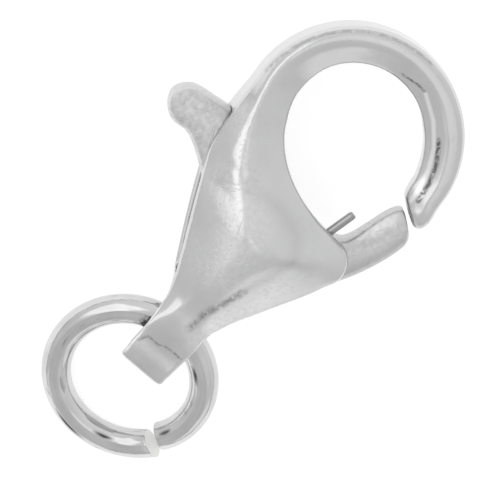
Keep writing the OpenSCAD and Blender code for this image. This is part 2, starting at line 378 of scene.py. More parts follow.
# Tail to belly: place along the body, then how far its spine, flank, half thickness and
# lower face have gone from the tail's to the belly's
BODY_ROWS = [
    [0, 0, 0, -0.72, 0],
    [0.02, 0, 0.01, -0.58, 0],
    [0.045, 0, 0.01, -0.42, 0],
    [0.08, 0.01, 0.02, -0.24, 0],
    [0.125, 0.01, 0.03, -0.01, 0],
    [0.21, 0.02, 0.05, 0.1, 0.1],
    [0.285, 0.04, 0.06, 0.08, 0.2],
    [0.35, 0.07, 0.12, 0.12, 0.4],
    [0.41, 0.145, 0.2, 0.26, 0.6],
    [0.505, 0.29, 0.365, 0.56, 0.8],
    [0.595, 0.435, 0.525, 0.78, 1],
    [0.69, 0.594, 0.7, 0.93, 1],
    [0.77, 0.723, 0.838, 1, 1],
    [0.82, 0.8, 0.912, 1, 1],
]


def shape_mix(a, b, t):
    return [mix(p, q, t) for p, q in zip(a, b)]


def section(outer, inner, half, shape):
    return [outer[0], outer[1], inner[0], inner[1], half, *shape]


def body_section(row):
    x = TAIL_X + row[0] * BODY_L
    spine = mix(TAIL_MID + TAIL_W / 2, SPINE_REACH, row[1])
    flank = mix(TAIL_MID - TAIL_W / 2, -FLANK_REACH, row[2])
    half = mix(TAIL_HALF, BELLY_HALF, row[3])
    return section((x, spine), (x, flank), half, shape_mix(TAIL_SHAPE, BELLY_SHAPE, row[4]))


LOBE_MID = Vector((-LOBE_BACK - LOBE_ROUND, -FLANK_REACH + LOBE_ROUND))
LOBE_FROM, LOBE_TO, LOBE_STEPS = -112, -8, 6
SPINE_LAST = Vector(body_section(BODY_ROWS[-1])[:2])
SHOULDER_FROM = Vector((-LOBE_BACK - LOBE_ROUND / 2, SPINE_REACH))
SHOULDER_KNEE = Vector((-LOBE_BACK + LOBE_ROUND * 0.7, mix(SPINE_REACH, HOOK_R, 0.45)))
SHOULDER_ANGLE = 100
ROOT_ANGLE = 130
ROOT_FROM = LOBE_MID + polar(LOBE_ROUND, LOBE_TO)
ROOT_TO = HOLE_MID + polar(HOLE_R, ROOT_ANGLE)
ROOT_KNEE = Vector((-LOBE_BACK, ROOT_TO.y - HOLE_R / 2))
ROOT_STEPS = 7
ROOT_THICK = 1.36
ROOT_FALL = [(0, 0), (0.4, 0), (0.7, 0.4), (1, 1)]
HOOK_THICKNESS = [(0, ROOT_THICK), (0.12, 1.2), (0.25, 1.08), (0.4, 1), (0.8, 1), (1, 0.92)]
HOOK_REACH = [(-88, 1), (30, 1), (100, 0.982)]
OPENING_REACH = [
    (-86, 1.08), (-70, 1.01), (-45, 0.955), (0, 0.965), (60, 1.015), (100, 1), (130, 0.98),
]
HOOK_STEPS, HOOK_END, OPENING_END = 20, -88, -86
TIP_ROWS = [
    [0.27, -39.8, 0.2, -24.2, 0.88],
    [0.13, -41, 0.1, -25.8, 0.82],
    [0.01, -40, 0, -28, 0.64],
]
TIP_REACH = GATE_REACH + GATE_GAP


def bend(a, b, c, t):
    return mix(mix(a, b, t), mix(b, c, t), t)


def hook_edge(a):
    return polar(HOOK_R * lookup(a, HOOK_REACH), a)


def lobe_section(i):
    t = i / (LOBE_STEPS - 1)
    spine = mix(SPINE_LAST, SHOULDER_FROM, (i + 1) / (LOBE_STEPS + 1))
    flank = LOBE_MID + polar(LOBE_ROUND, mix(LOBE_FROM, LOBE_TO, t))
    return section(spine, flank, BELLY_HALF, BELLY_SHAPE)


def root_section(i):
    t = (i + 1) / ROOT_STEPS
    outer = bend(SHOULDER_FROM, SHOULDER_KNEE, hook_edge(SHOULDER_ANGLE), t)
    half = mix(BELLY_HALF, HOOK_HALF * ROOT_THICK, lookup(t, ROOT_FALL))
    return section(
        outer, bend(ROOT_FROM, ROOT_KNEE, ROOT_TO, t), half, shape_mix(BELLY_SHAPE, HOOK_SHAPE, t)
    )


def hook_section(i):
    t = (i + 1) / HOOK_STEPS
    turn = mix(ROOT_ANGLE, OPENING_END, t)
    outer = hook_edge(mix(SHOULDER_ANGLE, HOOK_END, t))
    inner = HOLE_MID + polar(HOLE_R * lookup(turn, OPENING_REACH), turn)
    return section(outer, inner, HOOK_HALF * lookup(t, HOOK_THICKNESS), HOOK_SHAPE)


def tip_section(i):
    row = TIP_ROWS[i]
    outer = PIVOT + polar(TIP_REACH + HOOK_HALF * 2 * row[0], row[1])
    inner = PIVOT + polar(TIP_REACH + HOOK_HALF * 2 * row[2], row[3])
    return section(outer, inner, HOOK_HALF * row[4], HOOK_SHAPE)


def claw_sections():
    rows = [body_section(row) for row in BODY_ROWS]
    for make, count in (
        (lobe_section, LOBE_STEPS), (root_section, ROOT_STEPS), (hook_section, HOOK_STEPS),
        (tip_section, len(TIP_ROWS)),
    ):
        rows += [make(i) for i in range(count)]
    return rows


# The upper face, in mm: two slopes that rise with the distance from the outer and the
# inner edge, under a crowned crest. Height of the crest by section number, where it
# isn't the section's half thickness: at the tail's end, and from the belly to the hook
CREST = dict(enumerate([0.8, 0.81, 0.83, 0.85, 0.85, 0.93]))
CREST |= dict(enumerate([1.75, 1.75, 1.745, 1.735, 1.72, 1.7, 1.68, 1.65, 1.6, 1.53, 1.44], 14))
CREST |= dict(enumerate([1.33, 1.22, 1.12, 1.02], 25))
# Section number, outer edge's share of the crest, slope from it, the same for the
# inner edge, crown, place of the crest across, blend at the outer and inner slopes,
# how far the upper face overhangs the lower one along the opening, and along the spine
FACE_ROWS = [
    (0, 0.93, 1, 0.93, 1, 0, 0.5, 0.02, 0.02, 0, 0.34),
    (5, 0.93, 1, 0.93, 0.8, 0, 0.5, 0.05, 0.05, 0, 0.34),
    (6, 0.72, 1, 0.74, 0.6, 0.04, 0.42, 0.15, 0.1, 0, 0.3),
    (8, 0.6, 0.96, 0.6, 0.62, 0.08, 0.4, 0.3, 0.08, 0, 0.1),
    (10, 0.5, 0.92, 0.52, 0.56, 0.09, 0.4, 0.5, 0.08, 0, 0),
    (12, 0.45, 0.9, 0.51, 0.52, 0.1, 0.42, 0.7, 0.1, 0, 0),
    (14, 0.42, 0.86, 0.51, 0.5, 0.1, 0.41, 0.75, 0.16, 0.05, 0),
    (17, 0.41, 0.84, 0.52, 0.46, 0.11, 0.38, 0.75, 0.3, 0.16, 0),
    (19, 0.41, 0.84, 0.54, 0.42, 0.12, 0.36, 0.7, 0.4, 0.24, 0),
    (21, 0.42, 0.9, 0.54, 0.42, 0.13, 0.35, 0.6, 0.4, 0.26, 0),
    (23, 0.46, 1, 0.54, 0.44, 0.15, 0.35, 0.42, 0.35, 0.24, 0),
    (25, 0.52, 1.1, 0.54, 0.48, 0.18, 0.38, 0.3, 0.25, 0.18, 0),
    (27, 0.62, 1.3, 0.54, 0.5, 0.22, 0.42, 0.14, 0.15, 0.1, 0),
    (32, 0.74, 1.5, 0.56, 0.55, 0.14, 0.45, 0.08, 0.08, 0.04, 0),
    (44, 0.76, 1.6, 0.58, 0.55, 0.12, 0.5, 0.08, 0.03, 0, 0),
    (49, 0.72, 1.6, 0.58, 0.55, 0.12, 0.5, 0.06, 0.03, 0, 0),
]
# Steps across a section's upper and lower face, closer at its two edges, and up its sides
TOP_STEPS, BUNCHING = 37, 0.4
FINE = [
    mix(k / TOP_STEPS, 0.5 - 0.5 * math.cos(math.pi * k / TOP_STEPS), BUNCHING)
    for k in range(TOP_STEPS + 1)
]
FINE_LOW = [0, 0.02, 0.05, 0.1, 0.15, 0.22, 0.3, 0.4, 0.5, 0.6, 0.7, 0.78, 0.85, 0.9, 0.95, 0.98, 1]
UP_THE_SIDE = (0.25, 0.5, 0.75)


def face_row(index):
    """Upper-face numbers for a section, smooth between the rows of the table."""
    stations = [row[0] for row in FACE_ROWS]
    columns = zip(*[row[1:] for row in FACE_ROWS])
    return [monotone(list(zip(stations, column)), [index])[0] for column in columns]


def blend_min(a, b, soft):
    """The lower of two heights, with a rounded meeting."""
    near = max(soft - abs(a - b), 0) / soft
    return min(a, b) - near * near * soft / 4


def face_height(across, wide, from_outer, from_inner, crest, face):
    edge, slope, edge_in, slope_in, crown, place, soft, soft_in = face[:8]
    top = crest - crown * ((across - place) * wide) ** 2
    top = blend_min(top, edge * crest + slope * from_outer, soft)
    return blend_min(top, edge_in * crest + slope_in * from_inner, soft_in)


def edge_tree(rows, first):
    """A tree of close-set plan points along one edge of the sections."""
    points = []
    for a, b in zip(rows, rows[1:]):
        for k in range(EDGE_STEPS):
            t = k / EDGE_STEPS
            points.append(Vector((mix(a[first], b[first], t), mix(a[first + 1], b[first + 1], t), 0)))
    return point_tree(points)


def outward(rows, i):
    """Plan direction straight out of the inner edge at a section."""
    before, after = rows[max(i - 1, 0)], rows[min(i + 1, len(rows) - 1)]
    way = Vector((after[3] - before[3], before[2] - after[2])).normalized()
    across = Vector((rows[i][2] - rows[i][0], rows[i][3] - rows[i][1]))
    return way if way.dot(across) > 0 else -way


def section_ring(row, out, outer_edge, inner_edge):
    """The points round one section: lower face, inner side, upper face, outer side."""
    outer, inner = Vector(row[0:2]), Vector(row[2:4])
    half, crest, face, shape = row[4], row[5], row[6:16], row[16:]
    wide = (inner - outer).length
    below = inner - out * face[8]
    under = outer + (inner - outer) / wide * face[9]
    low = monotone(list(zip(ACROSS, shape)), FINE_LOW)
    high = []
    for a in FINE:
        p = mix(outer, inner, a).to_3d()
        away = outer_edge.find(p)[2], inner_edge.find(p)[2]
        high.append(face_height(a, wide, *away, crest, face))
    ring = [(mix(under, below, a), -part * half) for a, part in zip(FINE_LOW, low)]
    ring += [(mix(below, inner, k), mix(-low[-1] * half, high[-1], k)) for k in UP_THE_SIDE]
    ring += [(mix(outer, inner, a), z) for a, z in reversed(list(zip(FINE, high)))]
    ring += [(mix(under, outer, k), mix(-low[0] * half, high[0], k)) for k in reversed(UP_THE_SIDE)]
    return [world(p.x, p.y, z) for p, z in ring]


def claw_rows():
    """Every section's plan points, half thickness, crest, upper face and lower shape."""
    return [
        [*row[:5], CREST.get(i, row[4]), *face_row(i), *row[5:]]
        for i, row in enumerate(claw_sections())
    ]


def claw_rings():
    rows = through(claw_rows(), CLAW_STEP)
    edges = edge_tree(rows, 0), edge_tree(rows, 2)
    return [section_ring(row, outward(rows, i), *edges) for i, row in enumerate(rows)]


# The arm: share of the way from the pivot up to the tab, then of the way across to it for
# the back and the front edge. The gate: share of its reach and angle about the pivot for
# its outer edge, the same for its inner edge, and share of the lever's thickness
ARM_ROWS = [
    [0.914, 0.65, 1.4],
    [0.819, 0.55, 1.43],
    [0.727, 0.4, 1.43],
    [0.62, 0.202, 1.36],
    [0.498, -0.05, 1.18],
    [0.347, -0.307, 0.91],
    [0.185, -0.479, 0.64],
    [0.023, -0.552, 0.52],
    [-0.104, -0.442, 0.56],
    [-0.174, -0.215, 0.66],
    [-0.232, 0.061, 0.8],
    [-0.282, 0.307, 0.93],
]
GATE_ROWS = [
    [0.525, -75, 0.561, -40.8, 1],
    [0.587, -70.2, 0.618, -39.4, 0.98],
    [0.68, -63, 0.679, -37.3, 0.95],
    [0.765, -57.6, 0.741, -35.5, 0.93],
    [0.854, -52.9, 0.814, -33.5, 0.92],
    [0.923, -49.5, 0.876, -32.3, 0.92],
    [0.969, -47, 0.933, -31.8, 0.92],
    [0.991, -44.8, 0.975, -32, 0.9],
    [1, -42, 0.998, -33.2, 0.88],
]
TAB_ARC = [88, 76, 60, 42, 24, 8]


def arm_point(along, across):
    return Vector((mix(PIVOT.x, TAB_MID.x, across), mix(PIVOT.y, TAB_MID.y, along)))


def gate_point(part, angle):
    return PIVOT + polar(GATE_REACH * part, angle)


def lever_sections():
    rows = []
    for a in TAB_ARC:
        rows.append([*(TAB_MID + polar(TAB_R, 180 - a)), *(TAB_MID + polar(TAB_R, a)), 1, 0])
    for row in ARM_ROWS:
        rows.append([*arm_point(row[0], row[1]), *arm_point(row[0], row[2]), 1, 0])
    for i, row in enumerate(GATE_ROWS):
        dome = min(1, i / 3)
        rows.append([*gate_point(row[0], row[1]), *gate_point(row[2], row[3]), row[4], dome])
    return rows


# Steps across the lever, and its height there: rounded rims on the arm, and on the
# gate a crowned face with a wide bevel on its outer edge
LEVER_ACROSS = [0, 0.05, 0.13, 0.26, 0.5, 0.74, 0.87, 0.95, 1]
ARM_SHAPE = [0.5, 0.76, 0.9, 0.98, 1, 0.98, 0.9, 0.76, 0.5]
GATE_SHAPE = [0.62, 0.78, 0.89, 0.98, 1, 0.9, 0.8, 0.72, 0.62]
LEVER_FINE = [
    0, 0.02, 0.05, 0.09, 0.13, 0.19, 0.26, 0.37, 0.5, 0.63, 0.74, 0.81, 0.87, 0.91, 0.95, 0.98, 1,
]


def lever_ring(row):
    back, front = Vector(row[0:2]), Vector(row[2:4])
    half = LEVER_HALF * row[4]
    shape = shape_mix(ARM_SHAPE, GATE_SHAPE, row[5])
    parts = monotone(list(zip(LEVER_ACROSS, shape)), LEVER_FINE)
    top = [(mix(back, front, a), half * part) for a, part in zip(LEVER_FINE, parts)]
    ring = [(p, -z) for p, z in top]
    ring += [(front, k * top[-1][1]) for k in (-0.5, 0, 0.5)]
    ring += reversed(top)
    ring += [(back, k * top[0][1]) for k in (0.5, 0, -0.5)]
    return [world(p.x, p.y, z) for p, z in ring]


# The slot between the two plates, and the other hollows of the casting
SLOT_TAIL = TAIL_X + END_WALL + EYE_L + SLOT_WEB
SLOT_SIDE = TAIL_MID - TAIL_W * 0.4
SLOT_HEEL = gate_point(GATE_ROWS[0][0], GATE_ROWS[0][1]).x - STOP_GAP
WALL_ROOM = 0.085
FRONT_WALL = [
    arm_point(ARM_ROWS[i][0], ARM_ROWS[i][2]) + Vector((WALL_ROOM, 0)) for i in (6, 5, 4, 3)
]
SHOULDER_WALL = FRONT_WALL[-1].x + WALL_ROOM / 2
MOUTH_ROOM = 12
MOUTH_ANGLE = GATE_ROWS[0][3] + LEVER_SWING + MOUTH_ROOM
MOUTH = gate_point(0.55, MOUTH_ANGLE)
BEYOND = 2 * HOOK_R
SLOT_OUTLINE = [
    (SLOT_TAIL, BEYOND),
    (SLOT_TAIL, SLOT_SIDE),
    (SLOT_HEEL, -FLANK_REACH + FLANK_WALL),
    (SLOT_HEEL, -BEYOND),
    (MOUTH.x, -BEYOND),
    MOUTH,
    *[PIVOT + polar(PIN_D * 2, MOUTH_ANGLE + a) for a in (0, 10, 20)],
    *FRONT_WALL,
    (SHOULDER_WALL, SPINE_REACH),
    (SHOULDER_WALL, BEYOND),
]
EYE_ROUND = 0.25


def slot_cutter():
    return draw_out("slot_cutter", [plan_ring(SLOT_OUTLINE, z) for z in (-SLOT_HALF, SLOT_HALF)])


def eye_cutter():
    """A box through the tail, with its long edges rounded over."""
    start_clean()
    middle = world(TAIL_X + END_WALL + EYE_L / 2, TAIL_MID, 0)
    bpy.ops.mesh.primitive_cube_add(size=1, location=middle)
    obj = named("eye_cutter")
    edit_all()
    bpy.ops.transform.resize(value=(EYE_L * MM, 4 * TAIL_W * MM, EYE_H * MM))

    def runs_across(edge):
        return abs(edge.verts[0].co.y - edge.verts[1].co.y) > TAIL_W * MM

    return bevel_where(obj, "edges", runs_across, EYE_ROUND * MM, segments=8)


def make_claw(sizes):
    claw = draw_out("claw_casting", claw_rings())
    subdivide(claw)
    cut(claw, slot_cutter())
    cut(claw, eye_cutter())
    cut(claw, pivot_bar("pin_cutter", PIN_D / 2 + PIN_FIT, PIN_L))
    soften(claw, sizes.claw_grain, passes=4)
    for name, lines in CLAW_MARKS.items():
        mark(claw, name, lines)
    return claw


# How much wider than the pin its bores in the claw and in the lever are, on each side,
# and the lengths of the cutters for the lever's bore and for the coil's room
PIN_FIT, BORE_FIT = 0.01, 0.03
BORE_L, COIL_ROOM_H = 3, 1.2
COIL_ROOM_R = COIL_R + WIRE_D * 2.2
# The web under the coil, the room round the wire, and the coil itself
WEB_T = LEVER_HALF * 0.6
COIL_PLAY = 0.015
COIL_TURNS = 2
COIL_LOW = -LEVER_HALF + WEB_T + WIRE_D / 2 + COIL_PLAY
COIL_HIGH = COIL_LOW + COIL_TURNS * (WIRE_D + COIL_PLAY)
HELD_ANGLE, SHOWN_ANGLE, HELD_LEG = -103, -102.4, 1.15
# Share of the wire's thickness at its first and last ring, and at the last but one
END_SHRINK = {0: 0.72, -1: 0.93}
# Millimetres of drawn lines for each step along the wire, and to each side of it
LINES_ALONG, LINES_AROUND = 0.1, 0.3


def groove_cutter():
    """Room in the lever for the spring's leg that shows."""
    turn = Matrix.Rotation(math.radians(SHOWN_ANGLE), 2)
    side, low = COIL_R - WIRE_D / 2 - COIL_PLAY, COIL_HIGH - WIRE_D / 2 - COIL_PLAY
    far = side + WIRE_D + 2 * COIL_PLAY
    corners = [(side, 0), (far, 0), (far, SPRING_LEG), (side, SPRING_LEG)]
    outline = [PIVOT + turn @ Vector(corner) for corner in corners]
    return draw_out("groove_cutter", [plan_ring(outline, z) for z in (low, low + 2 * SLOT_HALF)])


def make_lever(sizes):
    rings = [lever_ring(row) for row in through(lever_sections(), LEVER_STEP)]
    lever = draw_out("lever_and_gate", rings)
    subdivide(lever)
    cut(lever, pivot_bar("bore_cutter", PIN_D / 2 + BORE_FIT, BORE_L))
    middle = -LEVER_HALF + WEB_T + COIL_ROOM_H / 2
    cut(lever, pivot_bar("coil_cutter", COIL_ROOM_R, COIL_ROOM_H, middle))
    cut(lever, groove_cutter())
    soften(lever, sizes.lever_grain, passes=2)
    mark(lever, "scuff", LEVER_SCUFFS_AND_HIGHLIGHTS)
    return lever


def make_pin(sizes):
    """The rivet that the lever turns on, its two ends rounded over."""
    pin = pivot_bar("pivot_pin_rivet", sizes.pin_diameter / 2 / MM, sizes.pin_length / MM)
    bpy.ops.object.mode_set(mode="EDIT")
    bevel_where(pin, "faces", lambda face: abs(face.normal.z) > 0.9, sizes.pin_edge, segments=3)
    smooth_under(pin, degrees=40)
    return pin


def coil_point(a, z):
    p = PIVOT + polar(COIL_R, a)
    return Vector((p.x, p.y, z))


def coil_way(a):
    r = math.radians(a)
    return Vector((-math.sin(r), math.cos(r), 0))


def spring_path():
    held, shown = coil_way(HELD_ANGLE), coil_way(SHOWN_ANGLE)
    path = [coil_point(HELD_ANGLE, COIL_LOW) - HELD_LEG * t * held for t in (1, 0.75, 0.5, 0.25)]
    turn = SHOWN_ANGLE + 360 * COIL_TURNS
    for i in range(COIL_STEPS + 1):
        t = i / COIL_STEPS
        path.append(coil_point(mix(HELD_ANGLE, turn, t), mix(COIL_LOW, COIL_HIGH, t)))
    for t in (0.25, 0.5, 0.75, 0.96, 0.985, 1):
        path.append(coil_point(SHOWN_ANGLE, COIL_HIGH) + SPRING_LEG * t * shown)
    return path


def make_spring(sizes):
    """The wire drawn out ring by ring along its coil and its two straight legs."""
    path = spring_path()
    last = len(path) - 1
    rings = []
    for i, p in enumerate(path):
        ahead = path[min(i + 1, last)] - path[max(i - 1, 0)]
        side = Vector((0, 0, 1)).cross(ahead).normalized()
        up = ahead.cross(side).normalized()
        radius = sizes.spring_wire / 2 / MM * END_SHRINK.get(min(i, i - last, key=abs), 1)
        ring = []
        for k in range(WIRE_SIDES):
            q = polar(radius, -k * 360 / WIRE_SIDES)
            ring.append(world(*(p + q.x * side + q.y * up)))
        rings.append(ring)
    spring = draw_out("torsion_spring", rings)
    smooth_under(spring, degrees=50)
    tree = point_tree([point for ring in rings for point in ring])
    near = [divmod(tree.find(vert.co)[1], WIRE_SIDES) for vert in spring.data.vertices]
    round_it = [math.cos(2 * math.pi * side / WIRE_SIDES) for _, side in near]
    store(spring, "along", [step * LINES_ALONG for step, _ in near])
    store(spring, "around", [place * LINES_AROUND for place in round_it])
    return spring


def parting(turn):
    """How far this place along the wire is pulled up, or down, by its end."""
    return turn**END_SPRING - (1 - turn) ** END_SPRING


class RingWire:
    """The jump ring's wire: its sizes in millimetres, and where a point lies in it."""

    def __init__(self, sizes):
        self.thick = sizes.ring_wire / MM
        self.middle = (sizes.ring_diameter - sizes.ring_wire) / 2 / MM
        self.offset = sizes.ring_offset / MM
        cut_angle = 2 * math.asin(sizes.ring_cut / MM / 2 / self.middle)
        self.start = math.radians(CUT_AT) + cut_angle / 2
        self.sweep = 2 * math.pi - cut_angle
        self.place = (
            Matrix.Translation(world(RING_AT.x, RING_AT.y, 0))
            @ Matrix.Rotation(-RING_TILT, 4, "Y")
            @ Matrix.Translation((-self.middle * MM, 0, 0))
        )

    def turn(self, point):
        """How far round the wire a point is, from 0 at its start to 1 at its end."""
        turn = (math.atan2(point.y, point.x) - self.start) % (2 * math.pi) / self.sweep
        return 0 if turn > 1 + START_SLACK else turn


def spin_ring(sizes, wire):
    """A round wire with two flats, spun nearly full circle, its ends pulled out of line."""
    slant, skew = sizes.ring_slant / MM, sizes.ring_skew / MM
    radius = wire.thick / 2 * MM
    middle = wire.middle * MM
    start_clean()
    bpy.ops.mesh.primitive_circle_add(
        vertices=RING_SIDES, radius=radius, fill_type="NGON",
        location=(middle * math.cos(wire.start), middle * math.sin(wire.start), 0),
        rotation=(math.pi / 2, 0, wire.start),
    )
    ring = named("jump_ring_wire")
    bpy.ops.object.transform_apply(location=True, rotation=True, scale=True)
    flat = radius * math.cos(sizes.ring_flat)
    for vert in ring.data.vertices:
        vert.co.z = max(-flat, min(flat, vert.co.z))
    edit_all()
    bpy.ops.mesh.spin(
        steps=RING_STEPS, angle=-wire.sweep, center=(0, 0, 0), axis=(0, 0, 1), use_auto_merge=False
    )
    bpy.ops.object.mode_set(mode="OBJECT")
    for vert in ring.data.vertices:
        turn = wire.turn(vert.co)
        out = (math.hypot(vert.co.x, vert.co.y) / MM - wire.middle) / wire.thick
        back = slant * (1 + vert.co.z / flat) / 2 + skew * (0.5 - out)
        back *= max(0, 1 - (1 - turn) / END_RAMP)
        vert.co = Matrix.Rotation(-back / wire.middle, 3, "Z") @ vert.co
        vert.co.z += wire.offset * MM * parting(turn)
    ring.matrix_world = wire.place
    return settle(ring)


def mark_ring(ring, wire, flat_half):
    """Stores each point's place in the wire, and its flats, the painted highlight along their rims, and
    its gouges.
    """
    back = wire.place.inverted()
    marks = {"along": [], "around": [], "flat": [], "rim": [], "gouge": []}
    for vert in ring.data.vertices:
        p = back @ vert.co / MM
        turn = wire.turn(p)
        lift = p.z - wire.offset * parting(turn)
        out = math.hypot(p.x, p.y) - wire.middle
        side = math.degrees(math.atan2(out, abs(lift)))
        depth = max(
            max(0, 1 - abs(turn - at) / long) * max(0, 1 - abs(side - edge) / GOUGE_HALF)
            for at, long, edge in GOUGES
        )
        marks["along"].append(turn * 2 * math.pi * wire.middle)
        marks["around"].append(math.atan2(lift, out) * wire.thick / 2)
        marks["flat"].append(1.0 if abs(side) < flat_half + 1 else 0.0)
        # Where the painted highlight along the flat's rim lies
        marks["rim"].append(max(0, 1 - abs(abs(side) - flat_half - RIM_HIGHLIGHT_OUT) / RIM_HIGHLIGHT_HALF))
        marks["gouge"].append(min(1, 2 * depth) if lift > 0 else 0)
    for name, values in marks.items():
        store(ring, name, values)


def make_ring(sizes):
    wire = RingWire(sizes)
    ring = spin_ring(sizes, wire)
    bevel = ring.modifiers.new("Broken edge", "BEVEL")
    bevel.limit_method = "ANGLE"
    bevel.angle_limit = math.radians(60)
    bevel.width = END_EDGE * MM
    bevel.segments = 2
    apply_all(ring)
    smooth_under(ring, degrees=13)
    mark_ring(ring, wire, math.degrees(sizes.ring_flat))
    return ring


# Marks and materials


def place_of(point):
    """The plan place, in millimetres, of a point in the frame."""
    return Vector((point.x / MM + PART_MID.x, point.y / MM + PART_MID.y, point.z / MM - BELLY_HALF))


def nearness(point, line, width):
    """1 on the line, falling to 0 at this distance from it."""
    best = width
    for (ax, ay), (bx, by) in zip(line, line[1:]):
        along, way = Vector((bx - ax, by - ay)), Vector((point.x - ax, point.y - ay))
        t = max(0, min(1, way.dot(along) / along.length_squared))
        best = min(best, (way - along * t).length)
    return 1 - best / width


def store(obj, name, values):
    """A number for each point of the mesh, for the material to read."""
    layer = obj.data.attributes.new(name, "FLOAT", "POINT")
    layer.data.foreach_set("value", values)


# Faces at least this steeply upwards carry the marks
FACES_UP = 0.2


def mark(obj, name, lines):
    """Stores how near the points of the upper face are to given lines."""
    places = [p for line, _, _ in lines for p in line]
    low = [min(c) - 1 for c in zip(*places)]
    high = [max(c) + 1 for c in zip(*places)]
    values = []
    for vert in obj.data.vertices:
        p = place_of(vert.co)
        value = 0
        if vert.normal.z > FACES_UP and low[0] < p.x < high[0] and low[1] < p.y < high[1]:
            value = max(strength * nearness(p, line, width) for line, width, strength in lines)
        values.append(value)
    store(obj, name, values)


# Marks on the casting, as lines in plan with their width and strength. The ridge between the strap and
# the hook is scuffed and painted lighter as a highlight, and a fine painted dark line runs along the
# hook
RIDGE = [(-1.28, 2.86), (-1.74, 2.53), (-2.15, 2.13), (-2.58, 1.75), (-3.01, 1.37)]
HOOK_LINE_R = 3.07
# Painted shade and dark reflection lines along the creases, each also a shallow groove with a rougher
# skin
SHADED_CREASES = [
    ([polar(HOOK_LINE_R, a) for a in range(-5, 92, 6)], 0.08, 0.38),
    ([(-6.88, -0.12), (-6.31, -0.17), (-5.96, -0.27), (-5.58, -0.37), (-5.09, -0.5)], 0.22, 0.5),
    (
        [(-8.09, 0.71), (-7.82, 0.58), (-7.83, 0.2), (-7.73, -0.01), (-7.71, -0.29), (-7.73, -0.57)],
        0.06, 0.6,
    ),
    ([(2.32, 0.12), (2.35, -0.18), (2.38, -0.38), (2.36, -0.66)], 0.06, 0.8),
    ([(1.6, -1.84), (1.48, -1.96), (1.04, -2.28), (0.51, -2.49), (-0.08, -2.6)], 0.1, 1),
]
# Painted highlight lines along edges
PAINTED_HIGHLIGHT_LINES = [
    ([(2.33, -0.72), (1.9, -1.4), (1.36, -1.92), (0.76, -2.24), (0.17, -2.4), (-0.21, -2.47)], 0.09, 1),
    ([(-8.72, 0.8), (-8.0, 0.8), (-7.0, 0.88)], 0.05, 0.7),
    ([(-8.7, 0.8), (-8.7, -0.6)], 0.05, 0.6),
]
# Painted shade in the hollows beside the raised middle, over a softbox's reflection where the ridge
# widens, and over the tail's end
PAINTED_SHADE_LINES = [
    ([(-2.75, 1.3), (-2.7, 0.7), (-2.7, 0.1), (-2.95, -0.6), (-3.5, -0.95)], 0.4, 0.6),
    ([(-3.5, -0.95), (-4.3, -0.75), (-5.1, -0.5), (-6.3, -0.2)], 0.3, 0.8),
    ([(-8.7, 0.1), (-7.9, 0.1)], 1.1, 1),
    ([(-3.2, 1.95), (-3.68, 1.34), (-3.95, 0.7)], 0.5, 1),
]
# Scuffed places, each also painted lighter as a highlight
SCUFFS_AND_HIGHLIGHTS = [
    ([(-6.9, -0.5), (-5.4, -1.1), (-4.6, -1.3)], 0.7, 0.8),
    ([(-5.0, 0.6), (-4.3, 0.5), (-3.7, 0.8), (-3.0, 1.7)], 1.1, 1),
    ([(-8.5, 0.3), (-8.0, -0.3)], 0.7, 0.3),
    ([(-0.2, 3.0), (1.8, 2.6), (3.0, 0.6)], 0.5, 0.25),
    (RIDGE, 0.45, 0.9),
]
CLAW_MARKS = {
    "crease": SHADED_CREASES, "bright_line": PAINTED_HIGHLIGHT_LINES, "hollow": PAINTED_SHADE_LINES, "scuff": SCUFFS_AND_HIGHLIGHTS,
}
# Scuffed places on the lever, which the material also makes lighter
LEVER_SCUFFS_AND_HIGHLIGHTS = [
    ([(-2.3, 4.1), (-2.7, 3.0), (-3.2, 1.8)], 1.6, 1),
    ([(-1.9, -2.1), (-0.7, -2.9)], 0.8, 0.5),
]


class Nodes:
    """Short ways to add the nodes of a material or of the surroundings."""

    def __init__(self, tree):
        self.nodes, self.links = tree.nodes, tree.links

    def node(self, kind, inputs, output=0, **settings):
        """An output of a new node, whose inputs take the given values or sockets."""
        made = self.nodes.new("ShaderNode" + kind)
        for name, value in settings.items():
            setattr(made, name, value)
        for name, source in inputs.items():
            if isinstance(source, bpy.types.NodeSocket):
                self.links.new(source, made.inputs[name])
            else:
                made.inputs[name].default_value = source
        return made.outputs[output]

    def span(self, value, low, high, to_low=0.0, to_high=1.0, ease="LINEAR"):
        """The value's place between low and high, between the other two numbers."""
        ends = {"From Min": low, "From Max": high, "To Min": to_low, "To Max": to_high}
        return self.node("MapRange", {"Value": value, **ends}, interpolation_type=ease)

    def combine(self, kind, a, b):
        return self.node("Math", {0: a, 1: b}, operation=kind)

    def add(self, a, b):
        return self.combine("ADD", a, b)

    def times(self, a, b):
        return self.combine("MULTIPLY", a, b)

    def most(self, a, b):
        return self.combine("MAXIMUM", a, b)


